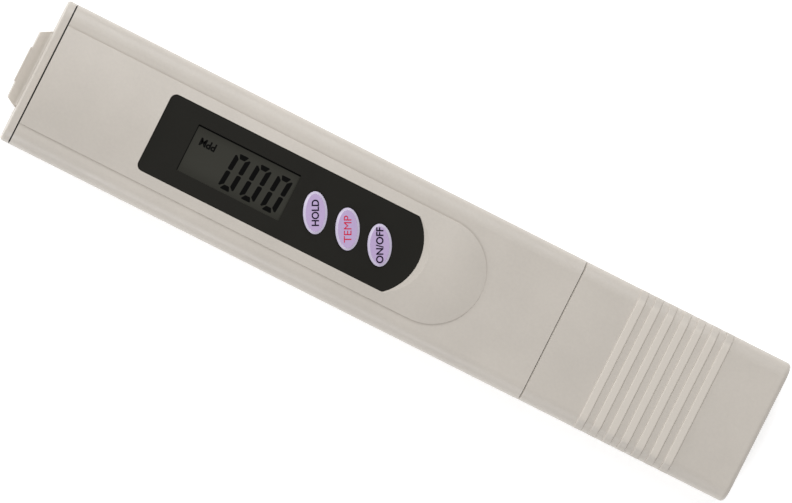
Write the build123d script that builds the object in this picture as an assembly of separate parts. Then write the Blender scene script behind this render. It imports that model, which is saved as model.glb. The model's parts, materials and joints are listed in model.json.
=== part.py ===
from build123d import *

import os
from math import sqrt

# Pocket water tester, lying on its back. +X runs along the pen from the battery end
# to the protective cap, +Z points out of the display face, Y runs across.
# Stations along the pen are measured from a datum near its middle. At the end every
# part is shifted so that the origin is the middle of the outer box, at its lowest
# level. Millimetres.

# ---- driving sizes -------------------------------------------------------------
LENGTH = 156.1  # over the clip heel and the protective cap
WIDTH = 29.3
REAR_Z = 6.0  # back face of the casing, above the lowest point of the clip
FRONT_Z = 21.6  # flat front face of the casing
EDGE_R = 3.0  # long edges of the casing
WALL = 1.6
MID_Z = (REAR_Z + FRONT_Z) / 2  # where the two shells meet
END_X = 78.45  # flat end of the protective cap
START_X = END_X - LENGTH  # outermost point of the clip heel
CENTRING = -(START_X + END_X) / 2

# battery end
HEEL_PAD_T = 0.35
HEEL_DEPTH = 2.2  # how far the heel stands off the end wall
CAP_PLATE_X0 = START_X + HEEL_PAD_T + HEEL_DEPTH
CAP_PLATE_T = 1.48
CAP_PLATE_X1 = CAP_PLATE_X0 + CAP_PLATE_T
SEAL_T = 0.24
PLUG_L = 3.85  # hollow plug of the battery cap inside the shells
SHELL_X0 = CAP_PLATE_X1 + SEAL_T + 0.05
SHELL_X1 = 34.5
PCAP_X0 = SHELL_X1 + 0.13  # open edge of the protective cap
PCAP_WIDTH = WIDTH - 0.06

# inside of the casing
BAY_WIDTH = WIDTH - 2 * WALL
BAY_Z0 = REAR_Z + WALL
BAY_Z1 = FRONT_Z - WALL
BAY_X1 = SHELL_X1 - WALL
BAY_R = 1.4
LIP_H = 0.8
LIP_T = 0.75

# raised tongue on the front
TONGUE_HALF = 10.2
TONGUE_RISE = 1.4  # at the middle line
TONGUE_FOOT = 0.25  # small upright foot along its edge
TONGUE_END_X = 19.1
TONGUE_TOP = FRONT_Z + TONGUE_RISE
TONGUE_ARC_X = TONGUE_END_X - TONGUE_HALF

# black panel let into the tongue
PANEL_X0 = -50.0
PANEL_X1 = 5.75
PANEL_HALF = 7.94
PANEL_END_R = 10.5
PANEL_CORNER_R = 1.3
PANEL_BLEND_R = 1.0
PANEL_TOP = FRONT_Z + 0.6
PANEL_T = 0.8
TAPE_T = 0.1
POCKET_GAP = 0.07
POCKET_FLOOR = PANEL_TOP - PANEL_T - TAPE_T
CRESCENT_SLOPE = 1.65  # run over rise of the sloping wall at the round end

# display
LCD_X = -32.2
WINDOW_L = 21.6
WINDOW_W = 9.62
LCD_L = 24.6
LCD_W = 12.4
LCD_T = 2.0
LCD_TOP = POCKET_FLOOR - 0.1

# keys: ovals that lean towards the battery end
KEY_XS = {"hold": -15.9, "temp": -9.05, "power": -2.25}
KEY_Y = -0.3  # the row of keys sits a little off the middle line
KEY_SHORT_R = 2.3
KEY_LONG_R = 4.05
KEY_LEAN = 26.7
KEY_RISE = 0.75
KEY_BEVEL_W = 0.5
KEY_BEVEL_H = 0.4
KEY_FLANGE = 0.4
KEY_FLANGE_Z0 = 18.9
KEY_FLANGE_Z1 = BAY_Z1 - 0.12
KEY_FOOT_Z = 18.5
SWITCH_SIDE = 4.6
SWITCH_H = 2.0
STEM_R = 0.8

# main board
BOARD_X0 = -54.0
BOARD_X1 = 26.5
BOARD_HALF = 11.6
BOARD_Z0 = 14.4
BOARD_T = 1.2
BOARD_Z1 = BOARD_Z0 + BOARD_T
SCREW_XS = (-49.0, 22.0)
SCREW_R = 0.85
SCREW_HEAD_R = 1.6
BOSS_R = 2.2
TRIMMER_X = 12.0
TRIMMER_SIDE = 6.0
TRIMMER_H = 3.0
ROTOR_R = 1.7
PORT_R = 1.6

# button cells, 11.6 across and 5.4 thick, side by side
CELL_R = 5.8
CELL_H = 5.4
CELL_X = -63.0
CELL_Y = 6.1
CELL_Z0 = 11.1
STRAP_T = 0.2
TRAY_X0 = -69.3
TRAY_X1 = -56.6
TRAY_HALF = 12.75
TRAY_FLOOR = 0.8
TRAY_TOP = 15.9
CONTACT_T = 0.25
CONTACT_W = 4.0

# probe end
NECK_W = 24.0
NECK_H = 10.4
COLLAR_W = 25.9
COLLAR_H = 12.2
COLLAR_X1 = 41.0
GUARD_X1 = 62.0
GUARD_WALL = 1.6
GUARD_FLOOR_X = 48.0
PIN_R = 0.9
PIN_Y = 4.2
PIN_X1 = 59.0
THERMO_R = 1.5
THERMO_X1 = 57.0
HOLDER_X0 = 29.5
PIN_X0 = HOLDER_X0 - 1.1

# protective cap
PCAP_WALL = 1.5
RIB_COUNT = 7
RIB_X0 = 47.13
RIB_PITCH = 3.03
RIB_HALF = 0.85
RIB_H = 0.32
RIB_EDGE_R = 0.3

# clip
HEEL_TOP = 14.0
HEEL_HALF_BASE = 8.0
HEEL_HALF_TIP = 6.9
HEEL_FILLET = 0.7
CLIP_T = 1.6
CLIP_ROOT_TOP = 8.0
CLIP_GAP = 0.2
CLIP_TIP_X = -33.8


# ---- helpers ---------------------------------------------------------------------
def block(x0, x1, y0, y1, z0, z1):
    """A box given by its faces."""
    return Pos((x0 + x1) / 2, (y0 + y1) / 2, (z0 + z1) / 2) * Box(
        x1 - x0, y1 - y0, z1 - z0
    )


def across(x):
    """A plane square to the pen at x: its own x is Y, its own y is Z."""
    return Plane(origin=(x, 0, 0), x_dir=(0, 1, 0), z_dir=(1, 0, 0))


def side_plane(y):
    """A plane along the pen at y: its own x is X, its own y is Z."""
    return Plane(origin=(0, y, 0), x_dir=(1, 0, 0), z_dir=(0, -1, 0))


def bar(x0, x1, width, z0, z1, radius):
    """A bar along X with a rounded rectangular section."""
    outline = Pos(0, (z0 + z1) / 2) * RectangleRounded(width, z1 - z0, radius)
    return extrude(across(x0) * outline, x1 - x0)


def ring_bar(x0, x1, outer, inner):
    """A rectangular ring along X; outer and inner are width, z0, z1, radius."""
    return bar(x0, x1, *outer) - bar(x0 - 1, x1 + 1, *inner)


def upright(x, y, z0, z1, radius):
    """A cylinder along Z."""
    return Pos(x, y, (z0 + z1) / 2) * Cylinder(radius, z1 - z0)


def along(x0, x1, y, z, radius):
    """A cylinder along X."""
    return Pos((x0 + x1) / 2, y, z) * Rot(0, 90, 0) * Cylinder(radius, x1 - x0)


def oval(x, grow, z0, z1):
    """A leaning oval prism at x, grown all round by grow."""
    outline = Ellipse(KEY_SHORT_R + grow, KEY_LONG_R + grow, rotation=KEY_LEAN)
    return extrude(Plane.XY.offset(z0) * Pos(x, KEY_Y) * outline, z1 - z0)


def casing(x0, x1):
    """The outer form of the casing between two stations."""
    return bar(x0, x1, WIDTH, REAR_Z, FRONT_Z, EDGE_R)


def group(solids):
    """Separate solids kept as one node."""
    return Compound(children=[s for part in solids for s in part.solids()])


# ---- casing ------------------------------------------------------------------------
def crown_z(y):
    """Height of the tongue's crowned top at a distance y from the middle line."""
    sag = TONGUE_RISE - TONGUE_FOOT
    radius = (TONGUE_HALF**2 + sag**2) / (2 * sag)
    return TONGUE_TOP - radius + sqrt(radius**2 - y**2)


def tongue():
    """The crowned tongue: a straight run and a domed round end."""
    foot_z = FRONT_Z + TONGUE_FOOT
    root_z = FRONT_Z - 1.0
    half = TONGUE_HALF
    section = (
        Polyline((-half, foot_z), (-half, root_z), (half, root_z), (half, foot_z))
        + ThreePointArc((half, foot_z), (0, TONGUE_TOP), (-half, foot_z))
    )
    run = extrude(across(SHELL_X0) * make_face(section), TONGUE_ARC_X - SHELL_X0)
    half_section = (
        Polyline((0, TONGUE_TOP), (0, root_z), (half, root_z), (half, foot_z))
        + ThreePointArc((half, foot_z), (half / 2, crown_z(half / 2)), (0, TONGUE_TOP))
    )
    dome = revolve(side_plane(0) * make_face(half_section), Axis.Z)
    return run + Pos(TONGUE_ARC_X, 0, 0) * dome


def panel_outline(grow=0.0):
    """Outline of the black panel: square at the battery end, an arc at the other."""
    half = PANEL_HALF + grow
    x0 = PANEL_X0 - grow
    x1 = PANEL_X1 + grow
    radius = PANEL_END_R + grow
    shoulder = x1 - radius + sqrt(radius**2 - half**2)
    edge = Polyline((shoulder, half), (x0, half), (x0, -half), (shoulder, -half))
    edge += ThreePointArc((shoulder, -half), (x1, 0), (shoulder, half))
    face = Sketch() + make_face(edge)
    left = face.vertices().group_by(Axis.X)[0]
    face = fillet(left, PANEL_CORNER_R)
    right = face.vertices().group_by(Axis.X)[-1]
    return fillet(right, PANEL_BLEND_R)


def pocket():
    """What is cut out of the tongue for the panel, with the sloping crescent."""
    well = extrude(Plane.XY.offset(POCKET_FLOOR) * panel_outline(POCKET_GAP), 3)
    rise = 1.4
    radius = PANEL_END_R + POCKET_GAP
    centre = PANEL_X1 - PANEL_END_R
    cone = Pos(centre, 0, PANEL_TOP + rise / 2) * Cone(
        radius, radius + CRESCENT_SLOPE * rise, rise
    )
    half = PANEL_HALF + POCKET_GAP
    reach = block(centre + 6.2, TONGUE_END_X, -half, half, PANEL_TOP, PANEL_TOP + 3)
    return well + (cone & reach)


def screw_boss(x):
    """A boss that hangs from the front wall down to the board."""
    post = upright(x, 0, BOARD_Z1, BAY_Z1 + 0.3, BOSS_R)
    return post - upright(x, 0, BOARD_Z1 - 1, BAY_Z1 - 0.5, SCREW_R + 0.04)


def side_rail(side, z0, z1, y0, y1):
    """A straight strip along one side wall of the casing."""
    low, high = sorted((side * y0, side * y1))
    return block(SHELL_X0, BAY_X1, low, high, z0, z1)


def neck_hole():
    """The opening in the end wall that holds the probe holder's neck."""
    gap = 0.1
    return bar(
        BAY_X1 - 1,
        SHELL_X1 + 1,
        NECK_W + 2 * gap,
        MID_Z - NECK_H / 2 - gap,
        MID_Z + NECK_H / 2 + gap,
        2.4,
    )


def bay():
    """The hollow of the casing, open at the battery end."""
    return bar(SHELL_X0 - 1, BAY_X1, BAY_WIDTH, BAY_Z0, BAY_Z1, BAY_R)


def front_shell():
    shell = casing(SHELL_X0, SHELL_X1) + tongue()
    shell -= bay() + pocket() + neck_hole()
    shell -= block(SHELL_X0 - 1, SHELL_X1 + 1, -WIDTH, WIDTH, REAR_Z - 1, MID_Z)
    for side in (-1, 1):
        y0 = BAY_WIDTH / 2 - 0.1
        shell -= side_rail(side, MID_Z - 1, MID_Z + LIP_H + 0.1, y0, y0 + LIP_T + 0.2)
    shell -= block(
        LCD_X - LCD_L / 2 - 0.2,
        LCD_X + LCD_L / 2 + 0.2,
        -LCD_W / 2 - 0.2,
        LCD_W / 2 + 0.2,
        BAY_Z1 - 1,
        POCKET_FLOOR + 0.5,
    )
    for x in KEY_XS.values():
        shell -= oval(x, 0.2, BAY_Z1 - 1, POCKET_FLOOR + 0.5)
    for x in SCREW_XS:
        shell += screw_boss(x)
    return shell


def rear_shell():
    shell = casing(SHELL_X0, SHELL_X1) - bay() - neck_hole()
    shell -= block(SHELL_X0 - 1, SHELL_X1 + 1, -WIDTH, WIDTH, MID_Z, FRONT_Z + 3)
    for side in (-1, 1):
        y0 = BAY_WIDTH / 2
        shell += side_rail(side, MID_Z - 1, MID_Z + LIP_H, y0, y0 + LIP_T)
    sleeve_top = BOARD_Z0 - TRIMMER_H - 1.2
    shell += upright(TRIMMER_X, 0, BAY_Z0 - 0.3, sleeve_top, PORT_R + 1.0)
    shell -= upright(TRIMMER_X, 0, REAR_Z - 1, sleeve_top + 1, PORT_R)
    return shell - extrude(Plane.XY.offset(REAR_Z - 1) * label_outline(0.1), 1.15)


def label_outline(grow=0.0):
    """Outline of the plain label on the back."""
    return Pos(-12, 0) * RectangleRounded(34 + 2 * grow, 19 + 2 * grow, 1.5)


def rear_label():
    return extrude(Plane.XY.offset(REAR_Z + 0.03) * label_outline(), 0.12)


# ---- front panel and display ----------------------------------------------------------
def panel_openings(z0, z1, grow):
    window = block(
        LCD_X - WINDOW_L / 2 - grow,
        LCD_X + WINDOW_L / 2 + grow,
        -WINDOW_W / 2 - grow,
        WINDOW_W / 2 + grow,
        z0,
        z1,
    )
    for x in KEY_XS.values():
        window += oval(x, 0.12 + grow, z0, z1)
    return window


def display_panel():
    z0 = PANEL_TOP - PANEL_T
    plate = extrude(Plane.XY.offset(z0) * panel_outline(), PANEL_T)
    return plate - panel_openings(z0 - 1, PANEL_TOP + 1, 0.0)


def panel_tape():
    film = extrude(Plane.XY.offset(POCKET_FLOOR) * panel_outline(-0.4), TAPE_T)
    return film - panel_openings(POCKET_FLOOR - 1, PANEL_TOP, 0.5)


def lcd_cell():
    """Two sheets of glass; the lower one is longer on one side for the contacts."""
    middle = LCD_TOP - LCD_T / 2
    x0, x1 = LCD_X - LCD_L / 2, LCD_X + LCD_L / 2
    upper = block(x0, x1, -LCD_W / 2 + 1.4, LCD_W / 2 - 1.4, middle, LCD_TOP)
    return upper + block(x0, x1, -LCD_W / 2, LCD_W / 2, LCD_TOP - LCD_T, middle)


def lcd_frame():
    z1 = LCD_TOP - LCD_T
    outer = block(LCD_X - 13.0, LCD_X + 12.9, -7.2, 7.2, BOARD_Z1, z1)
    return outer - block(LCD_X - 10.2, LCD_X + 10.2, -6.1, 6.1, BOARD_Z1 - 1, z1 + 1)


def zebra_strips():
    z1 = LCD_TOP - LCD_T
    return group(
        [
            block(LCD_X - 10, LCD_X + 10, side * 5.3 - 0.75, side * 5.3 + 0.75, BOARD_Z1, z1)
            for side in (-1, 1)
        ]
    )


# ---- keys -------------------------------------------------------------------------------
def key_button(x):
    """An oval key with a bevelled top, a flange under the wall and a foot."""
    top = PANEL_TOP + KEY_RISE
    body = oval(x, 0.0, KEY_FLANGE_Z1 - 0.2, top)
    rim = body.edges().filter_by_position(Axis.Z, top - 0.01, top + 0.01)
    body = chamfer(rim, KEY_BEVEL_H, KEY_BEVEL_W)
    body += oval(x, KEY_FLANGE, KEY_FLANGE_Z0, KEY_FLANGE_Z1)
    return body + upright(x, KEY_Y, KEY_FOOT_Z, KEY_FLANGE_Z0 + 0.2, 1.1)


def key_stem(x):
    return upright(x, KEY_Y, BOARD_Z1 + 1.0, KEY_FOOT_Z, STEM_R)


def switch_bases():
    half = SWITCH_SIDE / 2
    bases = []
    for x in KEY_XS.values():
        y0, y1 = KEY_Y - half, KEY_Y + half
        base = block(x - half, x + half, y0, y1, BOARD_Z1, BOARD_Z1 + SWITCH_H)
        bases.append(base - upright(x, KEY_Y, BOARD_Z1 + 0.4, BOARD_Z1 + 3, STEM_R + 0.2))
    return group(bases)


# ---- electronics ---------------------------------------------------------------------------
def main_board():
    length = BOARD_X1 - BOARD_X0
    outline = Pos((BOARD_X0 + BOARD_X1) / 2, 0) * RectangleRounded(
        length, 2 * BOARD_HALF, 1.0
    )
    board = extrude(Plane.XY.offset(BOARD_Z0) * outline, BOARD_T)
    for x in SCREW_XS:
        board -= upright(x, 0, BOARD_Z0 - 1, BOARD_Z1 + 1, SCREW_R + 0.15)
    return board


def controller_chip():
    """A drop of black resin over the bare chip."""
    radius, height = 6.0, 1.5
    sphere_r = (radius**2 + height**2) / (2 * height)
    ball = Pos(-31, 0, BOARD_Z0 - height + sphere_r) * Sphere(sphere_r)
    return ball & block(-40, -22, -9, 9, BOARD_Z0 - 3, BOARD_Z0)


def crystal_can():
    can = along(-16.5, -10.5, 6.5, BOARD_Z0 - 1.05, 1.0)
    return can + block(-10.6, -9.6, 5.6, 7.4, BOARD_Z0 - 1.3, BOARD_Z0 - 0.8)


def small_components():
    """Chip resistors and capacitors on the back of the board, in two rows."""
    parts = []
    for row, y in enumerate((-8.6, 9.4)):
        for i in range(6):
            x = -18 + 6.2 * i + 1.5 * row
            parts.append(block(x, x + 2.0, y - 0.6, y + 0.6, BOARD_Z0 - 0.7, BOARD_Z0))
    return group(parts)


def trimmer_body():
    half = TRIMMER_SIDE / 2
    z0 = BOARD_Z0 - TRIMMER_H
    body = block(TRIMMER_X - half, TRIMMER_X + half, -half, half, z0, BOARD_Z0)
    return body - upright(TRIMMER_X, 0, z0 - 1, z0 + 1.0, ROTOR_R + 0.15)


def trimmer_rotor():
    z0 = BOARD_Z0 - TRIMMER_H - 0.3
    disc = upright(TRIMMER_X, 0, z0, z0 + 1.2, ROTOR_R)
    slot = block(TRIMMER_X - 1.3, TRIMMER_X + 1.3, -0.25, 0.25, z0 - 1, z0 + 0.5)
    return disc - slot


def board_screws():
    """Two pan-head screws that hold the board to the front shell."""
    screws = []
    for x in SCREW_XS:
        head = upright(x, 0, BOARD_Z0 - 1.0, BOARD_Z0, SCREW_HEAD_R)
        rim = head.edges().filter_by_position(Axis.Z, BOARD_Z0 - 1.01, BOARD_Z0 - 0.99)
        head = fillet(rim, 0.35)
        head -= block(x - 0.9, x + 0.9, -0.15, 0.15, BOARD_Z0 - 2, BOARD_Z0 - 0.6)
        head -= block(x - 0.15, x + 0.15, -0.9, 0.9, BOARD_Z0 - 2, BOARD_Z0 - 0.6)
        screws.append(head + upright(x, 0, BOARD_Z0 - 0.1, BOARD_Z0 + 5.0, SCREW_R))
    return group(screws)


# ---- battery end ----------------------------------------------------------------------------
def heel_outline():
    """Plan of the heel: a trapezoid that narrows away from the end wall."""
    tip = CAP_PLATE_X0 - HEEL_DEPTH
    base = CAP_PLATE_X0
    edge = Polyline(
        (base, HEEL_HALF_BASE),
        (tip, HEEL_HALF_TIP),
        (tip, -HEEL_HALF_TIP),
        (base, -HEEL_HALF_BASE),
        close=True,
    )
    face = Sketch() + make_face(edge)
    return fillet(face.vertices().group_by(Axis.X)[0], 0.35)


def battery_cap():
    """End plate with a hollow plug, and the heel that carries the clip."""
    plate = casing(CAP_PLATE_X0, CAP_PLATE_X1)
    rim = plate.edges().filter_by_position(
        Axis.X, CAP_PLATE_X0 - 0.01, CAP_PLATE_X0 + 0.01
    )
    plate = fillet(rim, 0.35)
    plate += ring_bar(
        CAP_PLATE_X1 - 0.1,
        CAP_PLATE_X1 + PLUG_L,
        (BAY_WIDTH - 0.4, BAY_Z0 + 0.2, BAY_Z1 - 0.2, 1.3),
        (BAY_WIDTH - 2.8, BAY_Z0 + 1.4, BAY_Z1 - 1.4, 0.8),
    ) - block(CAP_PLATE_X1 - 2, CAP_PLATE_X1, -20, 20, 0, 30)
    z0 = CLIP_ROOT_TOP + CLIP_GAP
    heel = extrude(Plane.XY.offset(z0) * heel_outline(), HEEL_TOP - z0)
    cove = block(
        CAP_PLATE_X0 - HEEL_FILLET,
        CAP_PLATE_X0,
        -HEEL_HALF_BASE + 0.36,
        HEEL_HALF_BASE - 0.36,
        HEEL_TOP,
        HEEL_TOP + HEEL_FILLET,
    )
    cut = Pos(CAP_PLATE_X0 - HEEL_FILLET, 0, HEEL_TOP + HEEL_FILLET) * Rot(
        90, 0, 0
    ) * Cylinder(HEEL_FILLET, 20)
    pad = block(START_X, START_X + HEEL_PAD_T, -3.6, 3.6, z0 + 0.8, HEEL_TOP - 0.6)
    return plate + heel + (cove - cut) + pad


def battery_cap_seal():
    return ring_bar(
        CAP_PLATE_X1,
        CAP_PLATE_X1 + SEAL_T,
        (WIDTH - 0.7, REAR_Z + 0.35, FRONT_Z - 0.35, EDGE_R - 0.35),
        (BAY_WIDTH - 0.2, BAY_Z0 + 0.1, BAY_Z1 - 0.1, 1.3),
    )


def battery_tray():
    floor_z0 = CELL_Z0 - STRAP_T - TRAY_FLOOR
    tray = block(TRAY_X0, TRAY_X1, -TRAY_HALF, TRAY_HALF, floor_z0, TRAY_TOP)
    for side in (-1, 1):
        tray -= upright(CELL_X, side * CELL_Y, CELL_Z0 - STRAP_T, 30, CELL_R + 0.1)
    tray -= block(
        CELL_X - 3, CELL_X + 3, -CELL_Y, CELL_Y, CELL_Z0 - STRAP_T, CELL_Z0
    )
    tail = block(CAP_PLATE_X1, TRAY_X0 + 0.1, -10, 10, floor_z0, floor_z0 + TRAY_FLOOR)
    return tray + tail


def cell_link_strap():
    z0 = CELL_Z0 - STRAP_T
    strap = block(CELL_X - 2, CELL_X + 2, -CELL_Y, CELL_Y, z0, CELL_Z0)
    for side in (-1, 1):
        strap += upright(CELL_X, side * CELL_Y, z0, CELL_Z0, 3.5)
    return strap


def button_cell(y, can_up):
    """A button cell: a wide can and a smaller cap on its other side."""
    can_h = 4.6
    can = upright(0, 0, 0, can_h, CELL_R)
    can = fillet(can.edges().filter_by(GeomType.CIRCLE).sort_by(Axis.Z)[0], 0.4)
    cap = upright(0, 0, can_h, CELL_H, CELL_R - 1.0)
    cap = fillet(cap.edges().filter_by(GeomType.CIRCLE).sort_by(Axis.Z)[-1], 0.3)
    cell = can + cap
    if can_up:
        cell = Pos(0, 0, CELL_H) * Rot(180, 0, 0) * cell
    return Pos(CELL_X, y, CELL_Z0) * cell


def contact(side):
    """A stepped spring strip from the board over the top of one cell."""
    arm_z0 = CELL_Z0 + CELL_H + 0.15
    y0, y1 = side * CELL_Y - CONTACT_W / 2, side * CELL_Y + CONTACT_W / 2
    t = CONTACT_T
    foot = block(BOARD_X0, BOARD_X0 + 3.4, y0, y1, BOARD_Z1, BOARD_Z1 + t)
    riser = block(BOARD_X0, BOARD_X0 + t, y0, y1, BOARD_Z1, arm_z0 + t)
    arm = block(CELL_X - 3.2, BOARD_X0 + t, y0, y1, arm_z0, arm_z0 + t)
    return foot + riser + arm


# ---- clip -----------------------------------------------------------------------------------
def clip_plan():
    """Plan of the clip: wide at its root, narrowing to a round tip."""
    root = CAP_PLATE_X0 - HEEL_DEPTH
    wall = CAP_PLATE_X0 - 0.1
    half = [
        (root, HEEL_HALF_TIP),
        (wall, HEEL_HALF_BASE),
        (wall + 1.4, HEEL_HALF_BASE),
        (wall + 6.0, 6.6),
        (CLIP_TIP_X + 0.5, 5.0),
    ]
    edge = Polyline(half + [(x, -y) for x, y in reversed(half)], close=True)
    face = Sketch() + make_face(edge)
    face = fillet(face.vertices().group_by(Axis.X)[-1], 3.0)
    return fillet(face.vertices().group_by(Axis.X)[0], 0.35)


def pocket_clip():
    """A bent strip: down from the heel, along the back, in to the casing and out."""
    half_t = CLIP_T / 2
    root_mid = CAP_PLATE_X0 - 0.1 - half_t - 0.2
    line = FilletPolyline(
        (root_mid, CLIP_ROOT_TOP),
        (root_mid, half_t),
        (-58.0, half_t),
        (-38.2, REAR_Z - 0.25 - half_t - 0.05),
        (CLIP_TIP_X, 3.3),
        radius=(1.7, 40.0, 5.0),
    )
    ribbon = trace(line, CLIP_T)
    strip = extrude(side_plane(0) * ribbon, 12, both=True)
    root = block(
        CAP_PLATE_X0 - HEEL_DEPTH,
        CAP_PLATE_X0 - 0.1,
        -12,
        12,
        half_t + 1.2,
        CLIP_ROOT_TOP,
    )
    plan = extrude(Plane.XY.offset(-1) * clip_plan(), CLIP_ROOT_TOP + 1)
    return (strip + root) & plan


# ---- probe ------------------------------------------------------------------------------------
def centred(width, height, radius):
    """A section centred on the pen's own middle level, for bar()."""
    return (width, MID_Z - height / 2, MID_Z + height / 2, radius)


def probe_holder():
    """Holder of the pins: a flange inside, a collar for the cap and an open guard."""
    holder = bar(HOLDER_X0, BAY_X1 - 0.1, *centred(BAY_WIDTH - 0.6, 11.8, 1.2))
    holder += bar(HOLDER_X0, GUARD_X1, *centred(NECK_W, NECK_H, 2.4))
    holder += bar(SHELL_X1 + 0.05, COLLAR_X1, *centred(COLLAR_W, COLLAR_H, 1.4))
    holder -= ring_bar(
        36.8, 38.4, centred(COLLAR_W + 2, COLLAR_H + 2, 1.4), centred(24.4, 10.7, 1.0)
    )
    holder -= bar(
        GUARD_FLOOR_X,
        GUARD_X1 + 1,
        *centred(NECK_W - 2 * GUARD_WALL, NECK_H - 2 * GUARD_WALL, 1.0),
    )
    for y in (-6.4, 0.0, 6.4):
        slot = Pos(54.0, y) * SlotOverall(9.0, 2.6)
        holder -= extrude(Plane.XY * slot, 40)
    for y in (-PIN_Y, PIN_Y):
        holder -= along(20, 70, y, MID_Z, PIN_R + 0.03)
    return holder - along(20, 70, 0, MID_Z, THERMO_R + 0.03)


def probe_gasket():
    return ring_bar(36.9, 38.3, centred(25.98, 12.32, 1.4), centred(24.46, 10.76, 1.0))


def rounded_pin(x1, y, radius):
    pin = along(PIN_X0, x1, y, MID_Z, radius)
    return fillet(pin.edges().filter_by(GeomType.CIRCLE).sort_by(Axis.X)[-1], radius * 0.8)


def electrode_pins():
    return group([rounded_pin(PIN_X1, side * PIN_Y, PIN_R) for side in (-1, 1)])


def temperature_probe():
    return rounded_pin(THERMO_X1, 0, THERMO_R)


def probe_strap(y, width, pin_top):
    """A thin strap from the top of the board down to the back of one pin."""
    t = 0.2
    start = SCREW_XS[-1] + BOSS_R + 0.3
    profile = Polyline(
        (start, BOARD_Z1),
        (BOARD_X1 + 0.3, BOARD_Z1),
        (PIN_X0 - 0.4, pin_top),
        (PIN_X0 + 0.9, pin_top),
        (PIN_X0 + 0.9, pin_top + t),
        (PIN_X0 - 0.3, pin_top + t),
        (BOARD_X1 + 0.4, BOARD_Z1 + t),
        (start, BOARD_Z1 + t),
        close=True,
    )
    strip = extrude(side_plane(0) * make_face(profile), width / 2, both=True)
    return Pos(0, y, 0) * strip


def probe_straps():
    pin_top = MID_Z + PIN_R
    return group(
        [
            probe_strap(-PIN_Y, 1.4, pin_top),
            probe_strap(0, 1.8, MID_Z + THERMO_R),
            probe_strap(PIN_Y, 1.4, pin_top),
        ]
    )


# ---- protective cap ----------------------------------------------------------------------------
def rib(x, up):
    """One rounded rib across a broad face that fades over the long edges."""
    face_z = FRONT_Z if up > 0 else REAR_Z
    centre_y = PCAP_WIDTH / 2 - EDGE_R
    base = EDGE_R - 0.3
    height = RIB_H + EDGE_R - base
    bump = Pos(x, EDGE_R + RIB_H - height) * RectangleRounded(
        2 * RIB_HALF, 2 * height, RIB_EDGE_R
    )
    bump = bump & Pos(x, base + 1) * Rectangle(4, 2)
    run = extrude(side_plane(0) * bump, centre_y, both=True)
    turn = revolve(side_plane(0) * bump, Axis.X, 360)
    whole = run + Pos(0, centre_y, 0) * turn + Pos(0, -centre_y, 0) * turn
    half = PCAP_WIDTH / 2
    whole &= block(x - 3, x + 3, -half, half, 0, EDGE_R + 2)
    if up < 0:
        whole = Rot(180, 0, 0) * whole
    return Pos(0, 0, face_z - up * EDGE_R) * whole


def protective_cap():
    shell = bar(PCAP_X0, END_X, PCAP_WIDTH, REAR_Z, FRONT_Z, EDGE_R)
    end = shell.edges().filter_by_position(Axis.X, END_X - 0.01, END_X + 0.01)
    shell = fillet(end, 0.9)
    start = shell.edges().filter_by_position(Axis.X, PCAP_X0 - 0.01, PCAP_X0 + 0.01)
    shell = chamfer(start, 0.25)
    for i in range(RIB_COUNT):
        for up in (1, -1):
            shell += rib(RIB_X0 + i * RIB_PITCH, up)
    z0, z1 = REAR_Z + PCAP_WALL, FRONT_Z - PCAP_WALL
    inner_w = PCAP_WIDTH - 2 * PCAP_WALL
    return shell - bar(PCAP_X0 - 1, END_X - PCAP_WALL, inner_w, z0, z1, 1.5)


# ---- all nodes -----------------------------------------------------------------------------------
def nodes():
    parts = {
        "front_shell": front_shell(),
        "rear_shell": rear_shell(),
        "rear_label": rear_label(),
        "display_panel": display_panel(),
        "panel_tape": panel_tape(),
        "lcd_cell": lcd_cell(),
        "lcd_frame": lcd_frame(),
        "zebra_strips": zebra_strips(),
        "main_board": main_board(),
        "controller_chip": controller_chip(),
        "crystal_can": crystal_can(),
        "small_components": small_components(),
        "switch_bases": switch_bases(),
        "trimmer_body": trimmer_body(),
        "trimmer_rotor": trimmer_rotor(),
        "board_screws": board_screws(),
        "contact_positive": contact(1),
        "contact_negative": contact(-1),
        "probe_holder": probe_holder(),
        "probe_gasket": probe_gasket(),
        "electrode_pins": electrode_pins(),
        "temperature_probe": temperature_probe(),
        "probe_straps": probe_straps(),
        "battery_cap": battery_cap(),
        "battery_cap_seal": battery_cap_seal(),
        "battery_tray": battery_tray(),
        "cell_link_strap": cell_link_strap(),
        "button_cell_a": button_cell(CELL_Y, True),
        "button_cell_b": button_cell(-CELL_Y, False),
        "pocket_clip": pocket_clip(),
        "protective_cap": protective_cap(),
    }
    for name, x in KEY_XS.items():
        parts[f"{name}_button"] = key_button(x)
        parts[f"{name}_stem"] = key_stem(x)
    return parts


os.makedirs("parts", exist_ok=True)
for name, part in nodes().items():
    export_step(part.moved(Location((CENTRING, 0, 0))), f"parts/{name}.step")
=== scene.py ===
import json
import math

import bmesh
import bpy
from bpy.props import FloatProperty, FloatVectorProperty, IntProperty, PointerProperty
from bpy.props import StringProperty
from mathutils import Matrix, Vector

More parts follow.
